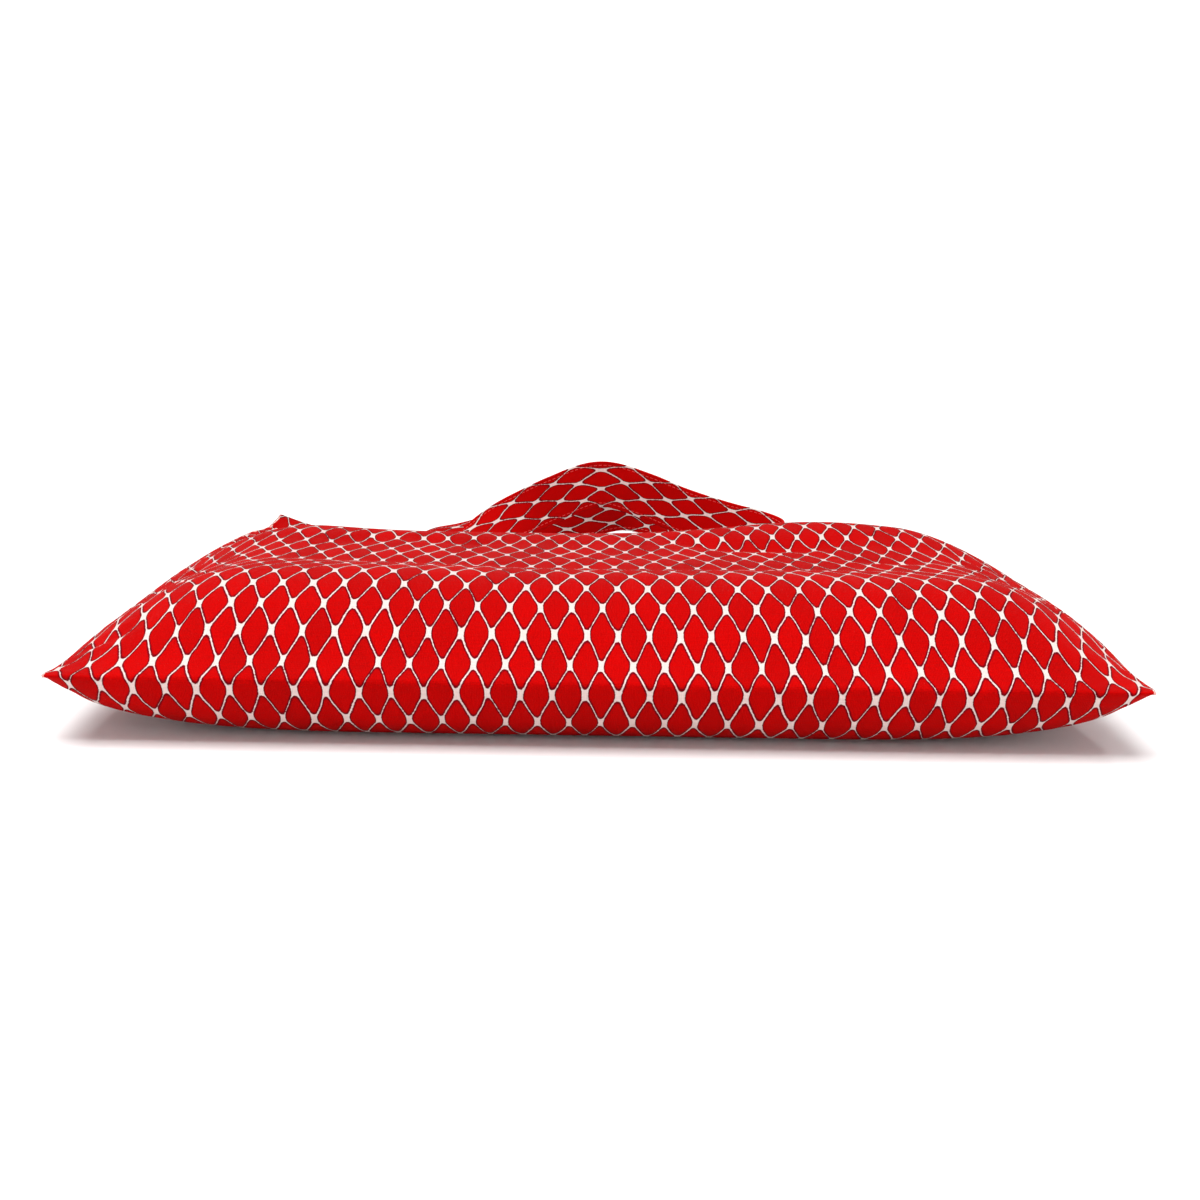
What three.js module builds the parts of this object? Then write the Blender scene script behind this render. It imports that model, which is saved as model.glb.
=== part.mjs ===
// A soft cotton tote bag that lies on its back panel, loosely filled, with its bottom fold
// towards -Y, its mouth and two strap handles towards +Y, and its front panel up.
// Lengths are in millimetres and angles in radians. While the bag is built, Y is measured
// from the bottom fold and Z from the table, and the last lines centre the whole bag.
import * as THREE from 'three';

// Driving sizes of the cloth body, as it lies filled
const bagWidth = 424;
const bagLength = 405;
const stuffedHeight = 62;
const foldHeight = 32;
const mouthHeight = 18;
const mouthSeamHeight = 25;
const clothThickness = 1.5;
const seamThickness = 4;
const restDepth = 0.5;

// How far in from the seams and the fold each panel takes to reach its full height
const topShoulder = 50;
const topNose = 37;
const baseShoulder = 90;
const baseNose = 35;

// Seams, hem and stitching
const seamMargin = 6;
const seamAllowance = 10;
const seamPly = 1;
const hemDepth = 25;
const hemInset = 0.5;
const hemPly = 1.4;
const hemSideInset = 24;
const threadWidth = 0.9;
const threadHeight = 0.5;
const hemStitchDepth = 22.5;

// Handles
const strapWidth = 30;
const strapThickness = 2.4;
const strapSpacing = 164;
const strapEndDepth = 20;
const strapOverhang = 5;
const upperReach = 42;
const upperRise = 26;
const lowerReach = 80;
const lowerRise = 10;
const boxStitchMargin = 3.5;
const boxStitchBack = 18;
const boxStitchFront = 3;

// Clearances between pieces that touch on the real bag, and between curved layers of cloth
const clearance = 0.3;
const layerClearance = 0.45;

// Mesh counts, and the distance that slopes are measured over
const acrossSteps = 32;
const alongSteps = 22;
const hemSteps = 32;
const seamSteps = 16;
const strapSteps = 56;
const slopeProbe = 0.5;

const halfWidth = bagWidth / 2;
const halfSeam = seamThickness / 2;
const quarterTurn = Math.PI / 2;

// The filled part of the bag stays level for this share of its length, then the front
// panel falls to the mouth, and the side seams fall over the share nearest the mouth.
const levelShare = 0.383;
const seamFallShare = 0.5;
const fallShares = [1.25, 1.9];

const clampUnit = (t) => Math.min(Math.max(t, 0), 1);
const roundUp = (t) => 1 - (1 - clampUnit(t)) ** 2;
const smooth = (t) => clampUnit(t) ** 2 * (3 - 2 * clampUnit(t));

// Height of the side seams, and of the front panel along its middle, at a distance from the fold
function seamLevel(along) {
  const fall = smooth((along / bagLength - (1 - seamFallShare)) / seamFallShare);
  return foldHeight + (mouthSeamHeight - foldHeight) * fall;
}

function middleLevel(along) {
  const past = clampUnit((along / bagLength - levelShare) / (1 - levelShare));
  return mouthHeight + (stuffedHeight - mouthHeight) * (1 - past ** fallShares[0]) ** fallShares[1];
}

// Outer faces of the two panels: both start at the seam level and swell away from it. The back
// panel would swell a little past the table, and is pressed flat where it rests.
function topFace(x, along) {
  const y = Math.min(along, bagLength);
  const start = seamLevel(y) + halfSeam;
  const swell = roundUp((halfWidth - Math.abs(x)) / topShoulder) * roundUp(y / topNose);
  return start + (middleLevel(y) - start) * swell;
}

function baseFace(x, along) {
  const y = Math.min(along, bagLength);
  const swell = roundUp((halfWidth - Math.abs(x)) / baseShoulder) * roundUp(y / baseNose);
  return Math.max((seamLevel(y) - halfSeam + restDepth) * (1 - swell) - restDepth, 0);
}

// The upright depth of a cloth of even thickness where its face slopes
function uprightDepth(face, x, along, thickness) {
  const y = Math.min(along, bagLength - slopeProbe);
  const slopeX = (face(x + slopeProbe, y) - face(x - slopeProbe, y)) / (2 * slopeProbe);
  const slopeY = (face(x, y + slopeProbe) - face(x, y - slopeProbe)) / (2 * slopeProbe);
  return thickness * Math.hypot(1, slopeX, slopeY);
}

const topInside = (x, y, depth) => topFace(x, y) - uprightDepth(topFace, x, y, depth);
const baseInside = (x, y, depth) => baseFace(x, y) + uprightDepth(baseFace, x, y, depth);

// A closed solid through a row of rings with the same even number of points. Each end is
// closed by strips that join a point to the one opposite it, and the faces point out.
function ringSolid(rings) {
  const size = rings[0].length;
  const points = rings.flat().flatMap((p) => [p.x, p.y, p.z]);
  const faces = [];
  const quad = (a, b, c, d) => faces.push(a, b, c, a, c, d);
  for (let j = 0; j + 1 < rings.length; j += 1) {
    for (let i = 0; i < size; i += 1) {
      const next = (i + 1) % size;
      quad(j * size + i, j * size + next, (j + 1) * size + next, (j + 1) * size + i);
    }
  }
  const last = (rings.length - 1) * size;
  for (let i = 0; i < size / 2 - 1; i += 1) {
    quad(i + 1, i, size - 1 - i, size - 2 - i);
    quad(last + i, last + i + 1, last + size - 2 - i, last + size - 1 - i);
  }
  const geometry = new THREE.BufferGeometry();
  geometry.setAttribute('position', new THREE.Float32BufferAttribute(points, 3));
  geometry.setIndex(facingOut(points, faces));
  geometry.computeVertexNormals();
  return geometry;
}

// Turns every triangle round if the solid's signed volume says that they face inwards
function facingOut(points, faces) {
  const at = (i) => new THREE.Vector3().fromArray(points, 3 * i);
  let volume = 0;
  for (let i = 0; i < faces.length; i += 3) {
    volume += at(faces[i]).dot(at(faces[i + 1]).cross(at(faces[i + 2])));
  }
  if (volume > 0) return faces;
  return faces.map((unused, i) => faces[i - (i % 3) + (2 - (i % 3))]);
}

// A flat ring: one row of points, and the same row at another height on the way back
const layeredRing = (places, topOf, baseOf) => [
  ...places.map(([x, y]) => new THREE.Vector3(x, y, topOf(x, y))),
  ...places.toReversed().map(([x, y]) => new THREE.Vector3(x, y, baseOf(x, y))),
];

const steps = (count) => Array.from({ length: count + 1 }, (unused, i) => i / count);
const span = (from, to, count) => steps(count).map((t) => from + (to - from) * t);

const tote = new THREE.Group();

function addPiece(name, geometry, material) {
  const piece = new THREE.Mesh(geometry, material);
  piece.name = name;
  tote.add(piece);
}

const printedCotton = new THREE.MeshStandardMaterial({ color: 0xe01208, roughness: 0.9, metalness: 0 });
const turnedCotton = new THREE.MeshStandardMaterial({ color: 0xc9271d, roughness: 0.92, metalness: 0 });
const strapCotton = new THREE.MeshStandardMaterial({ color: 0xd0140c, roughness: 0.9, metalness: 0 });
const sewingThread = new THREE.MeshStandardMaterial({ color: 0xf2e6de, roughness: 0.7, metalness: 0 });

// Body: one cloth folded at the bottom, a hollow shell that is open at the mouth. Its rings
// run from the fold to the mouth outside, and back to the fold inside.
function bodyCloth() {
  const shell = (reach, y, topOf, baseOf) => {
    const places = steps(acrossSteps).map((t) => [reach * Math.sin((2 * t - 1) * quarterTurn), y]);
    return layeredRing(places, topOf, baseOf);
  };
  const fromFold = (start) => steps(alongSteps)
    .map((t) => start + (bagLength - start) * (1 - Math.cos(2 * t * quarterTurn)) / 2);
  const outside = fromFold(0).map((y) => shell(halfWidth, y, topFace, baseFace));
  const inside = fromFold(seamMargin).map((y) => shell(
    halfWidth - seamMargin,
    y,
    (x, along) => topInside(x, along, clothThickness),
    (x, along) => baseInside(x, along, clothThickness),
  ));
  return ringSolid([...outside, ...inside.toReversed()]);
}

addPiece('body_cloth', bodyCloth(), printedCotton);

// Side seams: the two cloth edges sewn together, turned to the inside of the bag
function sideSeam(side) {
  const outer = halfWidth - seamMargin - clearance;
  const middle = (x, y) => (topInside(x, y, clothThickness) + baseInside(x, y, clothThickness)) / 2;
  const lengths = span(seamMargin + seamAllowance, bagLength - hemDepth - seamAllowance, seamSteps);
  return ringSolid(lengths.map((y) => layeredRing(
    [[side * outer, y], [side * (outer - seamAllowance), y]],
    (x, along) => middle(x, along) + seamPly / 2,
    (x, along) => middle(x, along) - seamPly / 2,
  )));
}

addPiece('left_side_seam', sideSeam(-1), turnedCotton);
addPiece('right_side_seam', sideSeam(1), turnedCotton);

// Layers at the mouth, counted in from the outer face: cloth, hem, then the strap's end
const hemDrop = clothThickness + layerClearance;
const strapDrop = hemDrop + hemPly + clearance;
const upperStrapTop = mouthHeight - strapDrop;
const lowerStrapTop = strapDrop + strapThickness;

// The hems end beside the seams, or further in where the panels first leave room for both
function hemReach() {
  const room = (x) => topFace(x, bagLength) - baseFace(x, bagLength);
  let reach = halfWidth - hemSideInset;
  while (room(reach) < 2 * (hemDrop + hemPly + clearance) + threadHeight) reach -= slopeProbe;
  return reach;
}

// Hem of a panel: the cloth's edge turned in at the mouth
function hem(layer) {
  const rows = span(bagLength - hemDepth, bagLength - hemInset, 2);
  return ringSolid(span(-hemReach(), hemReach(), hemSteps).map((x) => layeredRing(
    rows.map((y) => [x, y]),
    (px, py) => layer(px, py, hemDrop),
    (px, py) => layer(px, py, hemDrop + hemPly),
  )));
}

addPiece('upper_hem', hem(topInside), turnedCotton);
addPiece('lower_hem', hem(baseInside), turnedCotton);

// Hem stitching: a raised line of thread, on the outer face of the front panel and on the
// inner face of the back panel, because the bag lies on the other side of that one.
const upperStitchFloor = (x, y) => topFace(x, y) + layerClearance;
const lowerStitchFloor = (x, y) => baseInside(x, y, hemDrop + hemPly + clearance);

function hemStitch(floorOf) {
  const centre = bagLength - hemStitchDepth;
  const rows = [centre - threadWidth / 2, centre + threadWidth / 2];
  return ringSolid(span(-hemReach(), hemReach(), hemSteps).map((x) => layeredRing(
    rows.map((y) => [x, y]),
    (px, py) => floorOf(px, py) + threadHeight,
    floorOf,
  )));
}

addPiece('upper_hem_stitch', hemStitch(upperStitchFloor), sewingThread);
addPiece('lower_hem_stitch', hemStitch(lowerStitchFloor), sewingThread);

// Strap ends: the sewn ends of each handle, inside the hems, up to the line they swing on
const hingeLine = bagLength + strapOverhang;

function strapEnd(side, topOf, baseOf) {
  const centre = side * strapSpacing / 2;
  const front = bagLength - strapEndDepth;
  const lengths = [front, (front + bagLength) / 2, bagLength, hingeLine - clearance / 2];
  return ringSolid(lengths.map((y) => layeredRing(
    [-1, 0, 1].map((edge) => [centre + edge * strapWidth / 2, y]),
    topOf,
    baseOf,
  )));
}

const upperEndTop = (x, y) => topInside(x, y, strapDrop);
const upperEndBase = (x, y) => topInside(x, y, strapDrop + strapThickness);
const lowerEndTop = (x, y) => baseInside(x, y, strapDrop + strapThickness);
const lowerEndBase = (x, y) => baseInside(x, y, strapDrop);

// Box stitching: thread in a square with a cross, over each strap end
function boxStitch(side, floorOf) {
  const half = strapWidth / 2 - boxStitchMargin;
  const low = bagLength - boxStitchBack;
  const high = bagLength - boxStitchFront;
  const middle = (low + high) / 2;
  const halfLength = (high - low) / 2;
  const outline = new THREE.Shape([
    new THREE.Vector2(-half, -halfLength),
    new THREE.Vector2(half, -halfLength),
    new THREE.Vector2(half, halfLength),
    new THREE.Vector2(-half, halfLength),
  ]);
  const diagonal = Math.hypot(half, halfLength);
  const insetX = threadWidth * diagonal / halfLength / 2;
  const insetY = threadWidth * diagonal / half / 2;
  const flatCorner = half - threadWidth - insetX;
  const tallCorner = halfLength - threadWidth - insetY;
  const wedge = (points) => new THREE.Path(points.map(([x, y]) => new THREE.Vector2(x, y)));
  for (const sign of [-1, 1]) {
    const edgeY = sign * (halfLength - threadWidth);
    const edgeX = sign * (half - threadWidth);
    outline.holes.push(wedge([[-flatCorner, edgeY], [flatCorner, edgeY], [0, sign * insetY]]));
    outline.holes.push(wedge([[edgeX, -tallCorner], [edgeX, tallCorner], [sign * insetX, 0]]));
  }
  const geometry = new THREE.ExtrudeGeometry(outline, { depth: threadHeight, bevelEnabled: false });
  geometry.translate(side * strapSpacing / 2, middle, 0);
  const place = geometry.getAttribute('position');
  for (let i = 0; i < place.count; i += 1) {
    place.setZ(i, place.getZ(i) + floorOf(place.getX(i), place.getY(i)));
  }
  return geometry;
}

const lowerBoxFloor = (x, y) => lowerEndTop(x, y) + clearance;

for (const [name, side] of [['left', -1], ['right', 1]]) {
  addPiece(`upper_strap_${name}_end`, strapEnd(side, upperEndTop, upperEndBase), strapCotton);
  addPiece(`lower_strap_${name}_end`, strapEnd(side, lowerEndTop, lowerEndBase), strapCotton);
  addPiece(`upper_${name}_box_stitch`, boxStitch(side, upperStitchFloor), sewingThread);
  addPiece(`lower_${name}_box_stitch`, boxStitch(side, lowerBoxFloor), sewingThread);
}

// Handles: a flat strap along a curve from its left end to its right one, in rings at even
// distances. Each row gives the strap's middle as shares of half the spacing, the reach behind
// the hinge line and the rise, and its turn from flat to on edge as a share of a quarter turn.
// The rise is counted from the sewn end's height where the strap lies flat, and from the height
// of a strap that stands on the layer below where it is on edge.
const upperHandleShares = [
  [-1, 0, 0, 0],
  [-1, 0.119, 0, 0],
  [-0.995, 0.262, 0.016, 0.02],
  [-0.963, 0.44, 0.072, 0.12],
  [-0.884, 0.619, 0.175, 0.32],
  [-0.756, 0.786, 0.339, 0.54],
  [-0.573, 0.917, 0.534, 0.68],
  [-0.341, 0.988, 0.74, 0.76],
  [0.037, 1, 1.011, 0.78],
  [0.39, 1, 0.694, 0.8],
  [0.646, 1, 0.393, 0.8],
  [0.878, 1, 0.222, 0.81],
  [1.073, 1, 0.118, 0.85],
  [1.201, 0.986, 0.029, 0.89],
  [1.299, 0.924, -0.045, 0.92],
  [1.349, 0.81, -0.104, 0.93],
  [1.332, 0.686, -0.13, 0.85],
  [1.256, 0.593, -0.109, 0.64],
  [1.165, 0.49, -0.074, 0.4],
  [1.09, 0.379, -0.037, 0.17],
  [1.049, 0.286, -0.025, 0.05],
  [1.022, 0.198, 0, 0],
  [1.005, 0.102, 0, 0],
  [1, 0, 0, 0],
];
const lowerHandleShares = [
  [-1, 0, 0, 0],
  [-1, 0.062, 0, 0],
  [-1.024, 0.175, 0, 0],
  [-1.085, 0.325, -0.016, 0.01],
  [-1.183, 0.5, 0.004, 0.06],
  [-1.244, 0.675, 0.059, 0.14],
  [-1.207, 0.838, 0.066, 0.24],
  [-1.049, 0.956, 0.116, 0.36],
  [-0.805, 1, 0.279, 0.54],
  [-0.463, 1, 0.685, 0.78],
  [-0.061, 1, 1.009, 0.86],
  [0.268, 1, 0.825, 0.82],
  [0.524, 0.969, 0.543, 0.64],
  [0.683, 0.863, 0.163, 0.4],
  [0.774, 0.7, -0.021, 0.14],
  [0.817, 0.525, 0, 0],
  [0.86, 0.35, 0, 0],
  [0.921, 0.225, 0, 0],
  [0.974, 0.125, 0, 0],
  [0.995, 0.062, 0, 0],
  [1, 0, 0, 0],
];

function handle(shares, reach, rise, flatHeight, edgeHeight) {
  const start = hingeLine + clearance / 2;
  const route = new THREE.CatmullRomCurve3(shares.map(([x, y, z, turn]) => new THREE.Vector3(
    x * strapSpacing / 2,
    start + y * reach,
    THREE.MathUtils.lerp(flatHeight, edgeHeight, Math.sin(turn * quarterTurn)) + z * rise,
  )), false, 'centripetal');
  const turnAt = (t) => {
    const place = t * (shares.length - 1);
    const row = Math.min(Math.floor(place), shares.length - 2);
    return THREE.MathUtils.lerp(shares[row][3], shares[row + 1][3], smooth(place - row));
  };
  const up = new THREE.Vector3(0, 0, 1);
  const rings = steps(strapSteps).map((travelled) => {
    const t = route.getUtoTmapping(travelled);
    const centre = route.getPoint(t);
    const ahead = route.getTangent(t);
    if (travelled === 0) ahead.set(0, 1, 0);
    if (travelled === 1) ahead.set(0, -1, 0);
    const flat = new THREE.Vector3().crossVectors(up, ahead).normalize();
    const lifted = new THREE.Vector3().crossVectors(ahead, flat).normalize();
    const turn = turnAt(t) * quarterTurn;
    const across = flat.clone().multiplyScalar(Math.cos(turn)).addScaledVector(lifted, Math.sin(turn));
    const face = new THREE.Vector3().crossVectors(ahead, across).normalize();
    const corner = (w, h) => centre.clone()
      .addScaledVector(across, w * strapWidth / 2)
      .addScaledVector(face, h * strapThickness / 2);
    return [corner(-1, 1), corner(1, 1), corner(1, -1), corner(-1, -1)];
  });
  return ringSolid(rings);
}

const upperFlat = upperStrapTop - strapThickness / 2;
const lowerFlat = lowerStrapTop - strapThickness / 2;
const lowerOnEdge = strapWidth / 2;
const upperOnEdge = lowerStrapTop + clearance + strapWidth / 2;
const upperHandle = handle(upperHandleShares, upperReach, upperRise, upperFlat, upperOnEdge);
const lowerHandle = handle(lowerHandleShares, lowerReach, lowerRise, lowerFlat, lowerOnEdge);
addPiece('upper_handle', upperHandle, strapCotton);
addPiece('lower_handle', lowerHandle, strapCotton);

// The bag stands with its base on Z = 0 and the middle of its outline over the origin
const whole = new THREE.Box3().setFromObject(tote);
const centre = whole.getCenter(new THREE.Vector3());
tote.position.set(-centre.x, -centre.y, -whole.min.z);

export default tote;
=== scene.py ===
"""The look of a soft cotton tote bag that lies loosely filled on its back panel."""

import bpy
import numpy as np
from mathutils import Matrix, Vector


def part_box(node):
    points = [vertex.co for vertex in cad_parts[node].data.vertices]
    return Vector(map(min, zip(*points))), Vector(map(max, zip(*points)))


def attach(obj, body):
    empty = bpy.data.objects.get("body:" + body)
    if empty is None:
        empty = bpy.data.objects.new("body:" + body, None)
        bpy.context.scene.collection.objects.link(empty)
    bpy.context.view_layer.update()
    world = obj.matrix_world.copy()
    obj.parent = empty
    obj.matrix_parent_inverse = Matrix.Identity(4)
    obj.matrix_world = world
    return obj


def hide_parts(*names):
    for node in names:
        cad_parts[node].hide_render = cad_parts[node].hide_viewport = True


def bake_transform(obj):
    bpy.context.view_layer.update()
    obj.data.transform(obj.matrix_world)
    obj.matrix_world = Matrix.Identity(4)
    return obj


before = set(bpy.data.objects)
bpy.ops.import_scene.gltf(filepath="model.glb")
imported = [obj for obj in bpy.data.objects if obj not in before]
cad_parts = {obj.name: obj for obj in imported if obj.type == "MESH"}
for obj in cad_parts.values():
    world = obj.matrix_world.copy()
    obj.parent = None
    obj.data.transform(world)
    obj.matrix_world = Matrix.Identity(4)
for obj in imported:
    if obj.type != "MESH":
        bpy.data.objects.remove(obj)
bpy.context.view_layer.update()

# Camera: low in front of the bag's bottom fold, as in the photograph.
# All lengths in this file are in metres, and an angle in degrees has a name that says so.
mm = 0.001
fold_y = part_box("body_cloth")[0].y
camera_height = 169 * mm
camera_distance = 545.5 * mm
camera_aside = -8.6 * mm
camera_pitch_deg = 11.27
camera_roll_deg = 1.10
camera_yaw_deg = 0.73
camera_lens_mm = 45.6
camera_near = 10 * mm

pitch, roll, yaw = np.radians([camera_pitch_deg, camera_roll_deg, camera_yaw_deg])
ahead = np.array([np.sin(yaw) * np.cos(pitch), np.cos(yaw) * np.cos(pitch), -np.sin(pitch)])
level = np.array([np.cos(yaw), -np.sin(yaw), 0])
over = np.cross(level, ahead)
camera = bpy.data.objects.new("camera", bpy.data.cameras.new("camera"))
bpy.context.scene.collection.objects.link(camera)
camera.data.lens = camera_lens_mm
camera.data.clip_start = camera_near
place = np.eye(4)
place[:3, 0] = np.cos(roll) * level + np.sin(roll) * over
place[:3, 1] = np.cos(roll) * over - np.sin(roll) * level
place[:3, 2] = -ahead
place[:3, 3] = camera_aside, fold_y - camera_distance, camera_height
camera.matrix_world = Matrix(place.tolist())
bpy.context.scene.camera = camera


# Body: one length of printed cotton, folded at the bottom with a pressed crease, which makes
# the front panel above and the back panel below. Both are sewn together at the side seams, swell
# over the loose filling, and the back one is flat where it rests.
bag_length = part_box("body_cloth")[1].y - fold_y
bag_half_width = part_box("body_cloth")[1].x
cloth_thickness = 0.7 * mm
mouth_fold_radius = 1.2 * mm
lip_radius = 1.1 * mm
lip_growth = 8 * mm
lip_start_share = 0.12
left_shoulder = 70 * mm
right_shoulder = 60 * mm
back_shoulder = 134 * mm
back_corner = 8 * mm
back_corner_share = 0.42
back_nose = 44 * mm
back_fall_power = 3.4
hem_band = 32 * mm
hem_ramp = hem_band / 5
hem_rest = 0.5 * mm
full_slack = 9 * mm
hem_stitch_depth = 22.5 * mm

# The front panel along its middle: distance from the fold, height
front_profile = np.array([
    [0, 28.2], [12, 35], [22, 43.6], [33, 50.6], [45, 55.2], [60, 57.6], [84, 56.6], [111, 54.6],
    [138, 53.5], [164, 53.4], [184, 54.8], [198, 54], [228, 47], [268, 36.5], [312, 27.3],
    [356, 21], [385, 18.6], [405, 18]]) * mm
# The side seams: distance from the fold, height on the left, height on the right
seam_profile = np.array([
    [0, 28.2, 28.2], [15, 26, 27], [35, 25.2, 26.8], [60, 26.3, 29.4], [95, 27.5, 32.3],
    [130, 28.4, 33.6], [180, 29.8, 33.5], [230, 30.2, 33], [290, 29.4, 29], [350, 27.4, 27],
    [385, 26, 25.5], [405, 30.5, 26]]) * mm
# How far the bag is drawn in at its sides: distance from the fold, on the left, on the right
drawn_in_profile = np.array([
    [0, 5, 6], [20, 3.6, 4.4], [100, 3, 4], [200, 4, 6], [300, 5.5, 8], [360, 8, 9],
    [405, 14, 10]]) * mm
# Soft lumps of the front panel: x, distance from the fold, half length both ways, height
front_lumps = np.array([
    [112, 212, 66, 36, 8.5], [-150, 215, 38, 60, 2.5], [-96, 62, 46, 30, 1.2],
    [70, 66, 52, 30, 1]]) * mm
# Wrinkles of the front panel, then of the back one, in millimetres: the line that each
# follows, its half width and its depth
front_wrinkles = [
    ([[-196, 116], [-150, 122], [-96, 116], [-30, 100], [30, 98], [84, 106], [130, 108], [176, 88],
      [200, 64]], 11, 1.5),
    ([[14, 202], [36, 178], [60, 166], [92, 164], [124, 176], [150, 196]], 8, 2.2),
    ([[-204, 96], [-176, 140], [-158, 168]], 6, 1.6),
    ([[-200, 58], [-176, 84], [-160, 118]], 7, 1.2),
    ([[-196, 196], [-168, 214], [-140, 240]], 6, 1.4),
    ([[196, 120], [170, 146], [140, 160]], 7, 1.5),
    ([[198, 34], [178, 56], [166, 84]], 7, 1.0),
    ([[-132, 158], [-96, 178], [-58, 168], [-20, 182]], 7, 1.3),
    ([[-112, 250], [-64, 262], [-6, 248], [40, 262]], 9, 1.4),
    ([[104, 140], [138, 132], [172, 150]], 6, 1.1),
    ([[22, 300], [70, 292], [130, 306]], 9, 1.3),
    ([[-60, 236], [-24, 300], [-30, 372]], 12, 2.0),
    ([[60, 250], [92, 310], [84, 380]], 12, 2.0),
    ([[-150, 280], [-112, 330], [-88, 384]], 9, 1.6),
    ([[168, 260], [136, 320], [104, 372]], 9, 1.6)]
back_wrinkles = [
    ([[-206, 60], [-160, 90], [-110, 96]], 9, 1.6),
    ([[206, 90], [160, 112], [120, 112]], 9, 1.6),
    ([[-206, 190], [-160, 196], [-120, 188]], 10, 1.6),
    ([[204, 230], [160, 226], [120, 236]], 10, 1.6),
    ([[-204, 300], [-150, 310], [-120, 330]], 10, 1.4)]
pucker_depth = 0.5 * mm
pucker_length = 12 * mm
pucker_reach = 10 * mm
pucker_drift = 23 * mm
pucker_edge = 3 * mm
pucker_fold_gap = 20 * mm
wrinkle_edge = 12 * mm
wrinkle_start_share = 0.25
wrinkle_end_share = 0.5
# Short wrinkles beside the seams, in millimetres, with ranges to draw from
seam_wrinkle_count = 13
seam_wrinkle_x = 209
seam_wrinkle_start = 28
seam_wrinkle_stretch = 350
seam_wrinkle_place_share = (0.1, 0.9)
seam_wrinkle_length = (25, 60)
seam_wrinkle_slant_share = (-0.9, 0.9)
seam_wrinkle_bend_share = (-0.2, 0.2)
seam_wrinkle_half_width = (3.5, 6.5)
seam_wrinkle_depth = (0.7, 1.7)
seam_wrinkle_seed = 11
chance = np.random.default_rng(seam_wrinkle_seed)


def smooth_line(points, at):
    """Values at given places on a smooth line through points: cubic pieces whose slope at each
    point is that between its two neighbours. The first column holds the places."""
    x, y = points[:, 0], points[:, 1:]
    slope = np.gradient(y, x, axis=0)
    at = np.clip(at, x[0], x[-1])
    i = np.clip(np.searchsorted(x, at, side="right") - 1, 0, len(x) - 2)
    h = (x[i + 1] - x[i])[..., None]
    t = (at - x[i])[..., None] / h
    return ((2 * t ** 3 - 3 * t ** 2 + 1) * y[i] + (t ** 3 - 2 * t ** 2 + t) * h * slope[i]
            + (3 * t ** 2 - 2 * t ** 3) * y[i + 1] + (t ** 3 - t ** 2) * h * slope[i + 1])


def round_up(t):
    """Rises from 0 to 1 as a parabola whose top is at 1, and stays there."""
    return 1 - (1 - np.clip(t, 0, 1)) ** 2


def full_up(t):
    """Rises from 0 to 1 like round_up, but more steeply at first."""
    return 1 - (1 - np.clip(t, 0, 1)) ** back_fall_power


def smooth_step(t):
    """Rises from 0 to 1 with no slope at either end."""
    t = np.clip(t, 0, 1)
    return t * t * (3 - 2 * t)


def unit(vectors):
    """The same directions at length 1."""
    return vectors / np.maximum(np.linalg.norm(vectors, axis=-1, keepdims=True), 1e-9)


def side_seams(y):
    """x and height of the left seam, then of the right one, at distances y from the fold."""
    drawn_in = smooth_line(drawn_in_profile, y)
    height = smooth_line(seam_profile, y)
    return (-bag_half_width + drawn_in[..., 0], height[..., 0],
            bag_half_width - drawn_in[..., 1], height[..., 1])


def seam_lip(y):
    """Radius of each panel's turned edge beside the side seam: it grows from the fold on."""
    return lip_radius * (lip_start_share + (1 - lip_start_share) * round_up(y / lip_growth))


def wrinkle(x, y, line, half_width, depth):
    """Depth of a soft groove along a line of points: it falls off as exp(-(distance / half
    width)^2), and rises from nothing at both ends of the line, sooner at its start. The line,
    the half width and the depth are given in millimetres."""
    line = np.array(line) * mm
    edge = np.diff(line, axis=0)
    length = np.linalg.norm(edge, axis=1)
    before = np.concatenate([[0], np.cumsum(length)])
    nearest = np.full(x.shape, np.inf)
    way = np.zeros(x.shape)
    for corner, step, size, start in zip(line, edge, length, before):
        t = np.clip(((x - corner[0]) * step[0] + (y - corner[1]) * step[1]) / size ** 2, 0, 1)
        distance = np.hypot(x - corner[0] - t * step[0], y - corner[1] - t * step[1])
        closer = distance < nearest
        way = np.where(closer, start + t * size, way)
        nearest = np.where(closer, distance, nearest)
    share = way / before[-1]
    fade = smooth_step(share / wrinkle_start_share) * smooth_step((1 - share) / wrinkle_end_share)
    return depth * mm * fade * np.exp(-(nearest / (half_width * mm)) ** 2)


def seam_wrinkles():
    """Short wrinkles that run in from both side seams, one in each equal stretch of the seam at
    a random place in it, slanting towards the mouth or the fold."""
    wrinkles = []
    for side in (-1, 1):
        for k in range(seam_wrinkle_count):
            place = k + chance.uniform(*seam_wrinkle_place_share)
            y = seam_wrinkle_start + place * seam_wrinkle_stretch / seam_wrinkle_count
            length = chance.uniform(*seam_wrinkle_length)
            slant = chance.uniform(*seam_wrinkle_slant_share)
            bend = chance.uniform(*seam_wrinkle_bend_share)
            line = [[side * seam_wrinkle_x, y],
                    [side * (seam_wrinkle_x - length / 2), y + length * (slant / 2 + bend)],
                    [side * (seam_wrinkle_x - length), y + length * slant]]
            half_width = chance.uniform(*seam_wrinkle_half_width)
            wrinkles.append((line, half_width, chance.uniform(*seam_wrinkle_depth)))
    return wrinkles


front_wrinkles += seam_wrinkles()
back_wrinkles += seam_wrinkles()


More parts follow.
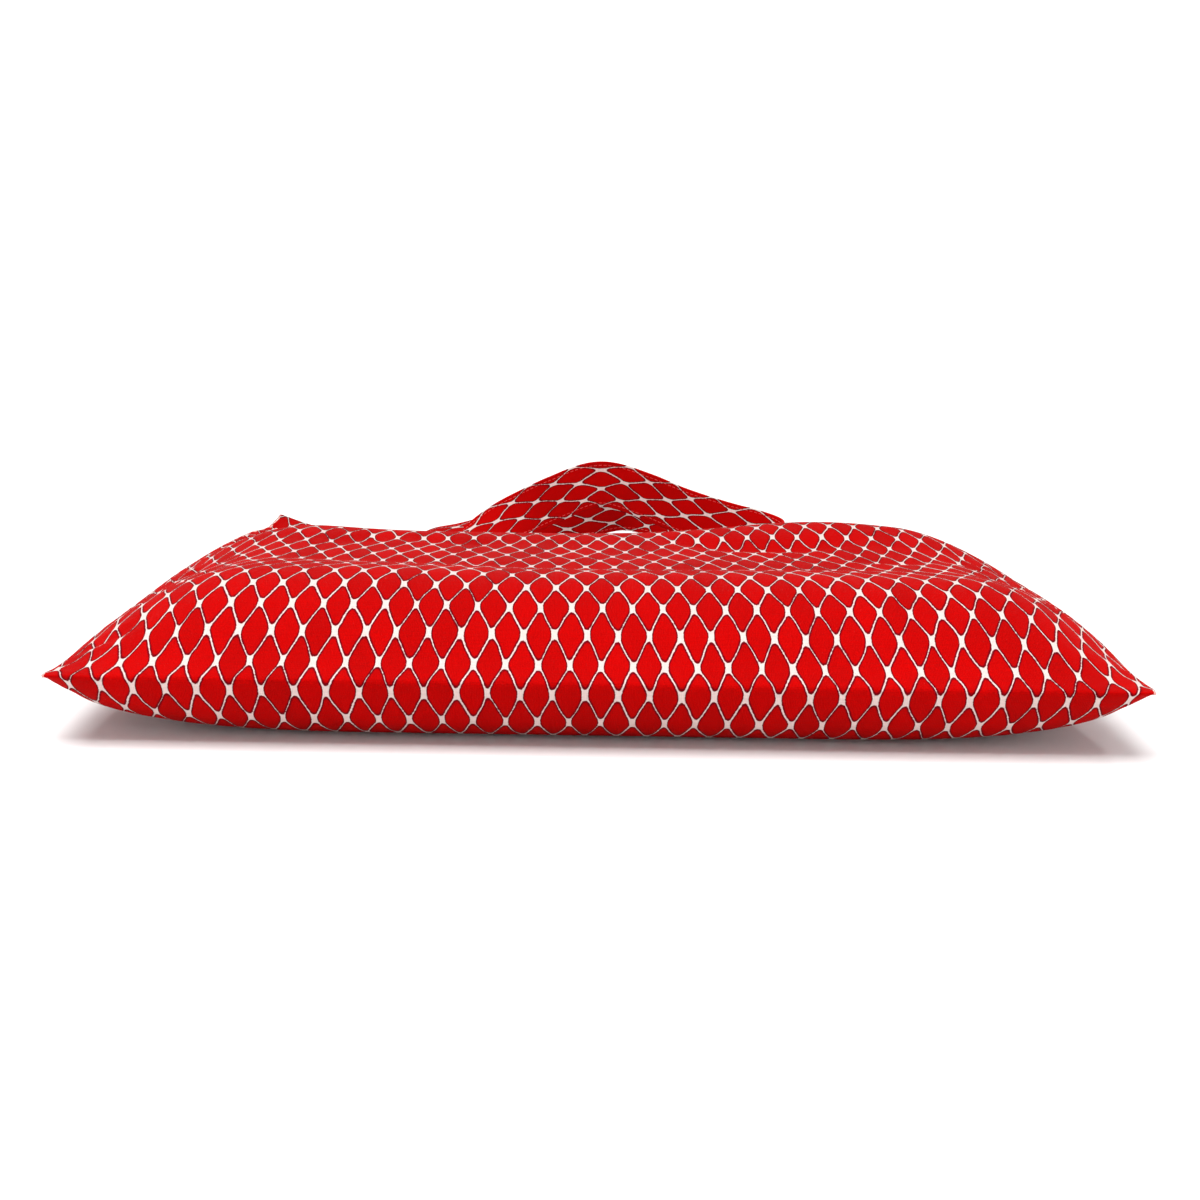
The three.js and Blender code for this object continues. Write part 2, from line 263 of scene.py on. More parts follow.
def panel_height(x, y, front):
    """Height of a panel's outer face at x and at a distance y from the fold. The front one swells
    from the seams' height to the middle's with round_up of the way in, and lumps and wrinkles
    add. The back one falls to the table with full_up, and quicker beside the seams, where exp
    adds; it wrinkles only where it hangs free, and its stiff hem rests on its stitches."""
    left_x, left_z, right_x, right_z = side_seams(y)
    inside = np.maximum(np.minimum(x - left_x, right_x - x), 0)
    seam = left_z + (right_z - left_z) * np.clip((x - left_x) / (right_x - left_x), 0, 1)
    pucker = pucker_depth * np.sin(2 * np.pi * y / pucker_length + np.sin(y / pucker_drift) * 2)
    pucker = pucker * np.exp(-inside / pucker_reach) * round_up(inside / pucker_edge)
    pucker = pucker * round_up(y / pucker_fold_gap)
    if not front:
        corner = back_corner_share * (1 - np.exp(-inside / back_corner))
        shoulder = (1 - back_corner_share) * full_up(inside / back_shoulder)
        fall = (corner + shoulder) * full_up(y / back_nose)
        hang = (seam - seam_lip(y)) * (1 - fall)
        slack = round_up(hang / full_slack)
        lift = sum(wrinkle(x, y, *one) for one in back_wrinkles) * slack
        rest = hem_rest * smooth_step((y - bag_length + hem_band) / hem_ramp)
        return np.maximum(hang + lift + pucker * slack, rest)
    middle = smooth_line(front_profile, y)[..., 0]
    for lump_x, lump_y, half_x, half_y, height in front_lumps:
        off_x, off_y = (x - lump_x) / half_x, (y - lump_y) / half_y
        middle = middle + height * np.exp(-off_x ** 2 - off_y ** 2)
    edge = seam + seam_lip(y)
    rightward = smooth_step(x / bag_half_width + 0.5)
    shoulder = left_shoulder + (right_shoulder - left_shoulder) * rightward
    height = edge + (middle - edge) * round_up(inside / shoulder) + pucker
    groove = sum(wrinkle(x, y, *one) for one in front_wrinkles)
    return height - groove * round_up(inside / wrinkle_edge)


def panel_frame(x, y, front):
    """Points on a panel's outer face in the bag's frame, and its outward directions there."""
    step = 0.5 * mm
    z = panel_height(x, y, front)
    slope_x = (panel_height(x + step, y, front) - panel_height(x - step, y, front)) / (2 * step)
    slope_y = (panel_height(x, y + step, front) - panel_height(x, y - step, front)) / (2 * step)
    out = unit(np.stack([-slope_x, -slope_y, np.ones_like(z)], -1)) * (1 if front else -1)
    return np.stack([x, y + fold_y, z], -1), out


def new_piece(name, points, faces, uv=None):
    """A smooth shaded object at the origin with its mesh in the bag's frame. uv gives a place
    on the cloth, in metres, for each corner of each face."""
    mesh = bpy.data.meshes.new(name)
    mesh.from_pydata(points.reshape(-1, 3).tolist(), [], faces)
    mesh.polygons.foreach_set("use_smooth", np.ones(len(mesh.polygons), bool))
    if uv is not None:
        corners = np.zeros((len(mesh.loops), 2), np.float32)
        corners[:len(uv)] = uv
        mesh.uv_layers.new(name="cloth").data.foreach_set("uv", corners.ravel())
    piece = bpy.data.objects.new(name, mesh)
    bpy.context.scene.collection.objects.link(piece)
    return piece


def grid_faces(rows, around, closed=False):
    """Four corner numbers for each square of a grid of points, closed round its rows if asked."""
    squares = around if closed else around - 1
    j, i = np.meshgrid(np.arange(rows - 1), np.arange(squares), indexing="ij")
    k = (i + 1) % around
    row, next_row = j * around, (j + 1) * around
    corners = np.stack([row + i, row + k, next_row + k, next_row + i], -1)
    return corners.reshape(-1, 4)


def grid_uv(u, v):
    """The places u and v of a grid's points, for each corner of each of its squares."""
    uv = np.stack([u, v], -1)
    return np.stack([uv[:-1, :-1], uv[:-1, 1:], uv[1:, 1:], uv[1:, :-1]], 2).reshape(-1, 2)


def turned_over(faces, uv):
    """The same squares with their other side out."""
    return faces[:, ::-1], uv.reshape(-1, 4, 2)[:, ::-1].reshape(-1, 2)


def walked(grid, axis, start):
    """Distance over the grid along one axis, counted from its line number start."""
    step = np.linalg.norm(np.diff(grid, axis=axis), axis=-1)
    way = np.concatenate([np.zeros_like(np.take(step, [0], axis)), np.cumsum(step, axis)], axis)
    return way - np.take(way, [start], axis)


def way_along(path):
    """Distance along a path of points, from its first one to each of them."""
    return np.concatenate([[0], np.cumsum(np.linalg.norm(np.diff(path, axis=0), axis=1))])


def thicken(piece, thickness):
    """Gives the cloth its thickness on the inside, with the piece's second material there."""
    solid = piece.modifiers.new("cloth thickness", "SOLIDIFY")
    solid.thickness = thickness
    solid.offset = -1
    solid.material_offset = 1


panel_columns = 197
panel_rows = 106
crease_zone = 4 * mm
crease_zone_rows = 9
stitch_row_offsets = np.array([-2.2, -1, 0, 1, 2.2]) * mm
column_even, column_crowded = 0.275, 0.225
row_even, row_crowded = 0.66, 0.34
lip_points = 6
lip_out, lip_back = 0.5, 0.9
lip_drop_power = 1.5
# Columns stand closer together beside the seams, and rows near the fold
share = np.linspace(-1, 1, panel_columns)
column_share = 0.5 + column_even * share + column_crowded * np.sin(share * np.pi / 2)
graded = np.linspace(0, 1, panel_rows)
panel_end = bag_length - mouth_fold_radius
hem_stitch_y = bag_length - hem_stitch_depth
along = np.unique(np.concatenate([
    np.linspace(0, crease_zone, crease_zone_rows)[:-1],
    crease_zone + (panel_end - crease_zone) * (row_even * graded + row_crowded * graded ** 2),
    hem_stitch_y + stitch_row_offsets]))
crease_row = len(along) - 1
lip_share = np.linspace(0, 1, lip_points)[1:]


def panel_places(y):
    """x of each column of a panel at distances y from the fold, as rows."""
    left_x, _, right_x, _ = side_seams(y)
    return left_x[:, None] + (right_x - left_x)[:, None] * column_share


def panel_grid(y, front):
    """A panel as rows of points at distances y from the fold. At both ends of a row the cloth
    turns in round a lip, out by half a sine and back by a square, down to the seam between the
    two panels."""
    x = panel_places(y)
    z = panel_height(x, y[:, None] + 0 * x, front)
    left_x, left_z, right_x, right_z = (end[:, None] for end in side_seams(y))
    lip = seam_lip(y)[:, None]
    out = lip * (lip_out * np.sin(np.pi * lip_share) - lip_back * lip_share ** 2)
    drop = lip_share ** lip_drop_power
    left = [left_x - out, z[:, :1] + (left_z - z[:, :1]) * drop]
    right = [right_x + out, z[:, -1:] + (right_z - z[:, -1:]) * drop]
    x = np.concatenate([left[0][:, ::-1], x, right[0]], 1)
    z = np.concatenate([left[1][:, ::-1], z, right[1]], 1)
    return np.stack([x, y[:, None] + 0 * x, z], -1)


stitch_dimple_depth = 0.35 * mm
stitch_dimple_half_width = 1.3 * mm


def stitch_dimple(y):
    """How deep the hem's line of stitches pulls the cloth in."""
    return stitch_dimple_depth * np.exp(-((y - hem_stitch_y) / stitch_dimple_half_width) ** 2)


front_grid = panel_grid(along, True)
back_grid = panel_grid(along, False)
front_grid[..., 2] -= stitch_dimple(along)[:, None]
cloth = np.concatenate([front_grid[::-1], back_grid[1:]])
# The crease is pressed but not sharp: each row near it moves towards its two neighbours
eased_rows = 7
ease_passes = 5
near_crease = slice(crease_row - eased_rows, crease_row + eased_rows + 1)
row_before = slice(crease_row - eased_rows - 1, crease_row + eased_rows)
row_after = slice(crease_row - eased_rows + 1, crease_row + eased_rows + 2)
for _ in range(ease_passes):
    cloth[near_crease] = (cloth[row_before] + 2 * cloth[near_crease] + cloth[row_after]) / 4
seam_weld_distance = 0.01 * mm
cloth_u = walked(cloth, 1, cloth.shape[1] // 2)
cloth_v = walked(cloth, 0, crease_row)
front_mouth_u, front_mouth_v = cloth_u[0], cloth_v[0]
back_mouth_u, back_mouth_v = cloth_u[-1], cloth_v[-1]
cloth[..., 1] += fold_y
cloth_faces, cloth_uv = turned_over(grid_faces(*cloth.shape[:2]), grid_uv(cloth_u, cloth_v))
body = new_piece("bag_cloth", cloth, cloth_faces.tolist(), cloth_uv)
body.modifiers.new("side seams", "WELD").merge_threshold = seam_weld_distance
thicken(body, cloth_thickness)
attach(body, "bag")
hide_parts("body_cloth")


# The printed cotton: plain-woven canvas, dyed by a red print of round-cornered diamonds in a
# half-drop lattice. The ground shows as thin lines, and the ink is darkest along its own edge.
motif_width = 12 * mm
motif_length = 29.5 * mm
motif_gap = 0.45 * mm
motif_rounding_share = 0.23
motif_start_share = 0.35
print_wobble = 2.6 * mm
lot_middle = 0.6
lot_size_share = 0.03
rim_reach = (-0.9 * mm, -0.35 * mm)
rim_share = 0.95
ink_edge = (-0.12 * mm, 0.14 * mm)
ragged_ink = 0.5 * mm
thread_pitch = 0.62 * mm
weave_relief = 0.16 * mm
slub_stretch = 9
slub_relief_share = 0.9
# The range of a noise texture that is used, and the tones and roughness at a pattern's two ends;
# # the weave's tones are painted shade, darker where the weave is low
noise_range = (0.3, 0.7)
patch_tone = (-0.05, 0.05)
lot_tone = (0.9, 1.04)
slub_tone = (-0.05, 0.05)
weave_shade_tone = (0.9, 1.0)
weave_lit_height = 0.6
slub_roughness = (0.78, 0.92)
# Features in a metre of cloth
wobble_features = 62
ragged_features = 900
slub_features = 160
patch_features = 14
ink_red = (0.39, 0.0002, 0.0001)
ink_rim = (0.11, 0.0, 0.004)
cotton_white = (0.64, 0.5, 0.47)
reverse_red = (0.74, 0.36, 0.32)
reverse_rim = (0.72, 0.40, 0.36)
reverse_white = (0.83, 0.77, 0.71)


def calc(tree, operation, *values):
    """A Math node of this operation on sockets or numbers, and what it gives."""
    node = tree.nodes.new("ShaderNodeMath")
    node.operation = operation
    for socket, value in zip(node.inputs, values):
        if isinstance(value, bpy.types.NodeSocket):
            tree.links.new(value, socket)
        else:
            socket.default_value = value
    return node.outputs[0]


def fade(tree, value, low, high, start=0.0, stop=1.0):
    """A smooth change from start to stop as the value goes from low to high."""
    node = tree.nodes.new("ShaderNodeMapRange")
    node.interpolation_type = "SMOOTHSTEP"
    tree.links.new(value, node.inputs["Value"])
    for name, number in zip(("From Min", "From Max", "To Min", "To Max"), (low, high, start, stop)):
        node.inputs[name].default_value = number
    return node.outputs["Result"]


def mixed(tree, factor, first, second, blend="MIX"):
    """The colour between two sockets or colours, at a factor that is a socket or a number."""
    node = tree.nodes.new("ShaderNodeMix")
    node.data_type = "RGBA"
    node.blend_type = blend
    sockets = node.inputs[0], node.inputs[6], node.inputs[7]
    for socket, value in zip(sockets, (factor, first, second)):
        if isinstance(value, bpy.types.NodeSocket):
            tree.links.new(value, socket)
        elif isinstance(value, tuple):
            socket.default_value = (*value, 1)
        else:
            socket.default_value = value
    return node.outputs[2]


def toned(tree, colour, tone):
    """The colour times a number: below 1 it is darker, above 1 it is lighter."""
    grey = tree.nodes.new("ShaderNodeCombineXYZ")
    for socket in grey.inputs:
        tree.links.new(tone, socket)
    return mixed(tree, 1.0, colour, grey.outputs[0], "MULTIPLY")


def noise(tree, place, scale, detail):
    """A noise texture at a place, with this many features in a metre."""
    node = tree.nodes.new("ShaderNodeTexNoise")
    node.inputs["Scale"].default_value = scale
    node.inputs["Detail"].default_value = detail
    tree.links.new(place, node.inputs["Vector"])
    return node


def cloth_place(tree):
    """Where a point lies on the flat cloth, as a vector socket in metres."""
    node = tree.nodes.new("ShaderNodeUVMap")
    node.uv_map = "cloth"
    return node.outputs[0]


def vector_calc(tree, operation, first, second):
    """A Vector Math node of this operation on a socket and a socket, vector or number."""
    node = tree.nodes.new("ShaderNodeVectorMath")
    node.operation = operation
    tree.links.new(first, node.inputs[0])
    if isinstance(second, bpy.types.NodeSocket):
        tree.links.new(second, node.inputs[1])
    elif operation == "SCALE":
        node.inputs["Scale"].default_value = second
    else:
        node.inputs[1].default_value = second
    return node.outputs[0]


def split(tree, vector):
    """The x and y of a vector socket."""
    node = tree.nodes.new("ShaderNodeSeparateXYZ")
    tree.links.new(vector, node.inputs[0])
    return node.outputs[0], node.outputs[1]


def motif_distance(tree, place):
    """How far a point of the cloth lies outside the nearest printed diamond, in metres, and a
    random number for that diamond. The lines s = u / width + v / length and t = u / width -
    v / length, at whole numbers, cut the cloth into diamonds; in s and t each is a square whose
    corners are rounded. Noise shifts the places first, as an unsteady hand would."""
    wobble = noise(tree, place, wobble_features, 1.5).outputs["Color"]
    shake = vector_calc(tree, "SUBTRACT", wobble, (0.5, 0.5, 0.5))
    drawn = vector_calc(tree, "ADD", place, vector_calc(tree, "SCALE", shake, print_wobble))
    u, v = split(tree, drawn)
    across = calc(tree, "DIVIDE", u, motif_width)
    down = calc(tree, "ADD", calc(tree, "DIVIDE", v, motif_length), motif_start_share)
    lines = [calc(tree, "ADD", across, down), calc(tree, "SUBTRACT", across, down)]
    spacing = motif_width * motif_length / np.hypot(motif_width, motif_length)
    cell = tree.nodes.new("ShaderNodeCombineXYZ")
    for line, socket in zip(lines, cell.inputs):
        tree.links.new(calc(tree, "FLOOR", line), socket)
    draw = tree.nodes.new("ShaderNodeTexWhiteNoise")
    draw.noise_dimensions = "2D"
    tree.links.new(cell.outputs[0], draw.inputs["Vector"])
    lot = draw.outputs["Value"]
    half = 0.5 - motif_gap / 2 / spacing - motif_rounding_share
    past = []
    for line in lines:
        off_middle = calc(tree, "ABSOLUTE", calc(tree, "SUBTRACT", calc(tree, "FRACT", line), 0.5))
        past.append(calc(tree, "MAXIMUM", calc(tree, "SUBTRACT", off_middle, half), 0.0))
    squares = [calc(tree, "POWER", one, 2.0) for one in past]
    corner = calc(tree, "SQRT", calc(tree, "ADD", *squares))
    outside = calc(tree, "SUBTRACT", corner, motif_rounding_share)
    growth = calc(tree, "MULTIPLY", calc(tree, "SUBTRACT", lot, lot_middle), lot_size_share)
    outside = calc(tree, "ADD", outside, growth)
    return calc(tree, "MULTIPLY", outside, float(spacing)), lot


def weave_height(tree, place):
    """Plain weave: where a warp thread is on top the bump is long along v, and where a weft
    thread is on top it is long along u; a thread's width is the pitch."""
    u, v = split(tree, vector_calc(tree, "SCALE", place, float(np.pi / thread_pitch)))
    ribs = [calc(tree, "SINE", u), calc(tree, "SINE", v)]
    bare = [calc(tree, "ABSOLUTE", rib) for rib in ribs]
    flat = [calc(tree, "SQRT", rib) for rib in bare]
    warp = calc(tree, "MULTIPLY", bare[0], flat[1])
    weft = calc(tree, "MULTIPLY", flat[0], bare[1])
    warp_on_top = calc(tree, "GREATER_THAN", calc(tree, "MULTIPLY", *ribs), 0.0)
    rise = calc(tree, "MULTIPLY", calc(tree, "SUBTRACT", warp, weft), warp_on_top)
    return calc(tree, "ADD", weft, rise)


def cotton(name, ink, rim, ground):
    """Printed canvas of these three colours: matt, with a fine nap, thick and thin threads, ink
    that lies a little unevenly, and painted shade in the hollows between the woven threads."""
    material = bpy.data.materials.new(name)
    material.use_nodes = True
    tree = material.node_tree
    shader = tree.nodes["Principled BSDF"]
    place = cloth_place(tree)
    outside, lot = motif_distance(tree, place)
    ragged = calc(tree, "SUBTRACT", noise(tree, place, ragged_features, 1.0).outputs[0], 0.5)
    outside = calc(tree, "ADD", outside, calc(tree, "MULTIPLY", ragged, ragged_ink))
    weave = weave_height(tree, place)
    stretched = vector_calc(tree, "MULTIPLY", place, (1, slub_stretch, 1))
    slub = noise(tree, stretched, slub_features, 2.0).outputs[0]
    patches = noise(tree, place, patch_features, 3.0).outputs[0]
    colour = mixed(tree, fade(tree, outside, *rim_reach, 0, rim_share), ink, rim)
    patchy = fade(tree, patches, *noise_range, *patch_tone)
    colour = toned(tree, colour, calc(tree, "ADD", fade(tree, lot, 0, 1, *lot_tone), patchy))
    colour = mixed(tree, fade(tree, outside, *ink_edge), colour, ground)
    slubby = fade(tree, slub, *noise_range, *slub_tone)
    # Painted shade: the colour is darker in the hollows between the woven threads, where the weave
    # is low
    weave_shade = fade(tree, weave, 0, weave_lit_height, *weave_shade_tone)
    colour = toned(tree, colour, calc(tree, "ADD", weave_shade, slubby))
    tree.links.new(colour, shader.inputs["Base Color"])
    tree.links.new(fade(tree, slub, *noise_range, *slub_roughness), shader.inputs["Roughness"])
    shader.inputs["Specular IOR Level"].default_value = 0.03
    shader.inputs["Sheen Weight"].default_value = 0.004
    shader.inputs["Sheen Roughness"].default_value = 0.4
    bump = tree.nodes.new("ShaderNodeBump")
    bump.inputs["Strength"].default_value = 0.78
    bump.inputs["Distance"].default_value = weave_relief
    relief = calc(tree, "ADD", weave, calc(tree, "MULTIPLY", slub, slub_relief_share))
    tree.links.new(relief, bump.inputs["Height"])
    tree.links.new(bump.outputs[0], shader.inputs["Normal"])
    return material


printed = cotton("printed_cotton", ink_red, ink_rim, cotton_white)
reverse = cotton("cotton_reverse", reverse_red, reverse_rim, reverse_white)
body.data.materials.append(printed)
body.data.materials.append(reverse)


# Hems: round the mouth each panel's cloth is folded in and its raw edge is turned under, so
# that a double band 25 mm deep lies against the inside of the panel.
hem_depth = 25 * mm
turned_under = 9 * mm
raw_edge_radius_share = 0.62
mouth_gap_share = 0.22


def hem_grid(front):
    """The hem as rows of points: half a circle over the mouth's edge, straight back inside the
    panel, half a circle the other way, and the turned-under edge. Where the panels come
    together beside the seams the circles shrink to fit between them."""
    x = panel_places(np.array([panel_end]))[0]
    gap = panel_height(x, panel_end + 0 * x, True) - panel_height(x, panel_end + 0 * x, False)
    radius = np.minimum(mouth_fold_radius, np.maximum(gap, 0) * mouth_gap_share)
    small = radius * raw_edge_radius_share
    turn_over = np.linspace(0, np.pi, 9)[:, None]
    turn_under = np.linspace(0, np.pi, 6)[1:, None]
    back_edge = bag_length - hem_depth
    y = [panel_end + radius * np.sin(turn_over)]
    depth = [radius * (1 - np.cos(turn_over))]
    y.append(np.linspace(panel_end, back_edge, 9)[1:, None] + 0 * x)
    depth.append(2 * radius + np.zeros((8, 1)))
    y.append(back_edge - small * np.sin(turn_under))
    depth.append(2 * radius - small * (1 - np.cos(turn_under)))
    y.append(np.linspace(back_edge, back_edge + turned_under, 4)[1:, None] + 0 * x)
    depth.append(2 * radius - 2 * small + np.zeros((3, 1)))
    y = np.concatenate(y)
    depth = np.concatenate(depth)
    on_panel = np.minimum(y, panel_end)
    z = panel_height(x + 0 * y, on_panel, front) - (1 if front else -1) * depth
    return np.stack([x + 0 * y, y, z], -1)


for side, front, mouth_u, mouth_v in (("front", True, front_mouth_u, front_mouth_v),
                                      ("back", False, back_mouth_u, back_mouth_v)):
    grid = hem_grid(front)
    lips = len(lip_share)
    sign = -1 if front else 1
    u = mouth_u[lips:-lips] + np.zeros(grid.shape[:2])
    v = mouth_v[lips:-lips] + sign * walked(grid, 0, 0)
    grid[..., 1] += fold_y
    faces, uv = grid_faces(*grid.shape[:2]), grid_uv(u, v)
    if not front:
        faces, uv = turned_over(faces, uv)
    hem = new_piece(f"{side}_hem", grid, faces.tolist(), uv)
    thicken(hem, cloth_thickness)
    hem.data.materials.append(printed)
    hem.data.materials.append(reverse)
    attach(hem, "bag")
    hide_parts("upper_hem" if front else "lower_hem")


# Side seam allowances: inside each side the two raw edges of the panels lie together, as one
# flat strip that waves a little.
allowance_width = 9.5 * mm
allowance_start = 16 * mm
allowance_end = 370 * mm
allowance_plies = 1.3 * mm
allowance_inner_gap = 0.9 * lip_radius
allowance_outer_gap = 1.6 * lip_radius
allowance_rows = 120
allowance_face_points = 12
allowance_wave = 0.5 * mm
short_wave = 9 * mm
long_wave = 31 * mm
edge_bend_points = 7


def profile_tube(centre, first, second, outline):
    """Points of a closed outline carried along a path: at each of its points the outline's two
    columns are measured along the directions first and second."""
    return centre[:, None] + outline[:, :1] * first[:, None] + outline[:, 1:] * second[:, None]


def capped(rows, around):
    """Faces of a closed tube of rows of points with a flat cap on both ends."""
    faces = grid_faces(rows, around, closed=True).tolist()
    first = list(range(around))[::-1]
    last = list(range((rows - 1) * around, rows * around))
    return faces + [first, last]


def flat_outline(half_width, half_height, along_edge):
    """A closed outline as wide and high as said, with half-round sides: points anticlockwise
    from the right-hand side of the lower face."""
    straight = np.linspace(-1, 1, along_edge) * (half_width - half_height)
    bend = np.linspace(-np.pi / 2, np.pi / 2, edge_bend_points)[1:-1]
    right_x = half_width - half_height + half_height * np.cos(bend)
    right = np.stack([right_x, half_height * np.sin(bend)], -1)
    top = np.stack([-straight, half_height + 0 * straight], -1)
    left = np.stack([-right[:, 0], -right[:, 1]], -1)
    low = np.stack([straight, -half_height + 0 * straight], -1)
    return np.concatenate([low, right, top, left])


def tube_uv(centre, outline):
    """Places on the cloth for a tube: across is the distance round the outline, measured from
    the middle of its upper face, and along is the distance on the path."""
    closed = np.concatenate([outline, outline[:1]])
    u, v = way_along(closed), way_along(centre)
    return grid_uv(u[None, :] + 0 * v[:, None], v[:, None] + 0 * u[None, :])


for side in ("left", "right"):
    y = np.linspace(allowance_start, allowance_end, allowance_rows)
    seams = side_seams(y)
    outward = -1 if side == "left" else 1
    edge_x = seams[0] if side == "left" else seams[2]
    inner_x = edge_x - outward * (allowance_width + allowance_inner_gap)
    outer_x = edge_x - outward * allowance_outer_gap
    middle_x = (inner_x + outer_x) / 2
    heights = [(panel_height(x, y, True) + panel_height(x, y, False)) / 2
               for x in (outer_x, inner_x)]
    wave = allowance_wave * np.sin(y / short_wave) * np.sin(y / long_wave)
    centre = np.stack([middle_x, y + fold_y, (heights[0] + heights[1]) / 2 + wave], -1)
    inwards = unit(np.stack([inner_x - outer_x, 0 * y, heights[1] - heights[0]], -1))
    ahead = unit(np.gradient(centre, axis=0))
    second = unit(np.cross(ahead, inwards))
    outline = flat_outline(allowance_width / 2, allowance_plies / 2, allowance_face_points)
    tube = profile_tube(centre, inwards, second, outline)
    faces = capped(*tube.shape[:2])
    seam = new_piece(f"{side}_seam_allowance", tube, faces, tube_uv(centre, outline))
    seam.data.materials.append(reverse)
    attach(seam, "bag")
    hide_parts(f"{side}_side_seam")


# Hem stitching: one line of off-white thread through both plies of each hem and its panel,
# seen outside as short raised stitches that dip into the cloth between.
thread_thickness = 0.5 * mm
stitch_pitch = 3.4 * mm
stitch_share = 0.82
stitch_stations = np.array([0, 0.14, 0.36, 0.64, 0.86, 1])
stitch_lift = np.array([-0.75, 0.0, 0.4, 0.4, 0.0, -0.75])
stitch_girth = np.array([0.6, 0.95, 1, 1, 0.95, 0.6])
thread_white = (0.86, 0.80, 0.74)
thread_red = (0.62, 0.006, 0.006)
ply_stripes = 900
ply_shade_share = 0.72
ply_slant = (0.4, 0.7, 0.8)
ply_relief = 0.08 * mm
hem_stitch_side_gap = 3 * mm
hem_stitch_points = 60
thread_sides = 6


def stitches(name, starts, ends, out):
    """Stitches from each start to each end on a face that looks out: each is a prism of thread
    whose middle is lifted above the face and whose two ends dip into it."""
    run = ends - starts
    side = unit(np.cross(out, run))
    up = unit(np.cross(run, side))
    turn = np.arange(thread_sides) * np.pi / (thread_sides / 2)
    ring = np.cos(turn)[:, None] * side[:, None] + np.sin(turn)[:, None] * up[:, None]
    middle = starts[:, None] + stitch_stations[:, None] * run[:, None]
    middle = middle + stitch_lift[:, None] * thread_thickness * up[:, None]
    girth = stitch_girth[:, None, None] * thread_thickness / 2
    points = middle[:, :, None] + girth * ring[:, None]
    one = capped(len(stitch_stations), thread_sides)
    size = len(stitch_stations) * thread_sides
    faces = [[corner + size * k for corner in face] for k in range(len(starts)) for face in one]
    return new_piece(name, points, faces)


def stitch_line(path, pitch=stitch_pitch):
    """Starts and ends of stitches along a path of points, evenly spaced."""
    way = way_along(path)
    count = max(int(round(way[-1] / pitch)), 1)
    begin = (np.arange(count) + (1 - stitch_share) / 2) * way[-1] / count
    finish = begin + stitch_share * way[-1] / count
    return [np.stack([np.interp(at, way, path[:, axis]) for axis in range(path.shape[1])], -1)
            for at in (begin, finish)]


def thread(name, colour):
    """Two-ply cotton thread: fine slanting stripes of light and shade, and a dull surface."""
    material = bpy.data.materials.new(name)
    material.use_nodes = True
    tree = material.node_tree
    shader = tree.nodes["Principled BSDF"]
    where = tree.nodes.new("ShaderNodeTexCoord")
    turned = tree.nodes.new("ShaderNodeMapping")
    turned.inputs["Rotation"].default_value = ply_slant
    tree.links.new(where.outputs["Object"], turned.inputs["Vector"])
    stripes = tree.nodes.new("ShaderNodeTexWave")
    stripes.inputs["Scale"].default_value = ply_stripes
    stripes.inputs["Distortion"].default_value = 1.5
    tree.links.new(turned.outputs[0], stripes.inputs["Vector"])
    dark = tuple(ply_shade_share * part for part in colour)
    tree.links.new(mixed(tree, stripes.outputs["Fac"], dark, colour), shader.inputs["Base Color"])
    shader.inputs["Roughness"].default_value = 0.6
    shader.inputs["Sheen Weight"].default_value = 0.1
    bump = tree.nodes.new("ShaderNodeBump")
    bump.inputs["Strength"].default_value = 0.5
    bump.inputs["Distance"].default_value = ply_relief
    tree.links.new(stripes.outputs["Fac"], bump.inputs["Height"])
    tree.links.new(bump.outputs[0], shader.inputs["Normal"])
    return material


white_thread = thread("white_thread", thread_white)
red_thread = thread("red_thread", thread_red)


def sewn_to_panel(name, lines, front):
    """Stitches along lines of x and distance from the fold, on a panel's outer face."""
    pairs = [stitch_line(np.array(line)) for line in lines]
    starts, ends = (np.concatenate(part) for part in zip(*pairs))
    first, out = panel_frame(*starts.T, front)
    last, _ = panel_frame(*ends.T, front)
    dimple = stitch_dimple(starts[:, 1])[:, None] * out * (1 if front else 0)
    piece = stitches(name, first - dimple, last - dimple, out)
    piece.data.materials.append(white_thread)
    return piece


for side, front, node in (("front", True, "upper_hem_stitch"), ("back", False, "lower_hem_stitch")):
    left_x, _, right_x, _ = side_seams(np.array(hem_stitch_y))
    places = np.linspace(left_x + hem_stitch_side_gap, right_x - hem_stitch_side_gap,
                         hem_stitch_points)
    line = [[x, hem_stitch_y] for x in places]
    piece = sewn_to_panel(f"{side}_hem_stitching", [line], front)
    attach(piece, "bag")
    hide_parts(node)


# Handles: two straps of the printed cotton, folded to four plies and topstitched along both
# edges. Both ends of each are sewn inside a hem, and the loops lie beyond the mouth: the upper
# one stands up on edge in an arch, and the lower one lies against the table beneath it.
strap_width = 30 * mm
strap_thickness = 2.3 * mm
half_spacing = 82 * mm
strap_sewn_depth = 20 * mm
hinge_y = bag_length + 5 * mm
edge_stitch_inset = 2.6 * mm
edge_stitch_pitch = 3.2 * mm
edge_dimple = 0.3 * mm
edge_dimple_half_width = 1.1 * mm
bend_start = 1 * mm
unsewn_by = 14 * mm
tail_gap = 4 * mm
tail_points = 6
fine_steps = 3000
strap_rows = 230
strap_face_points = 25

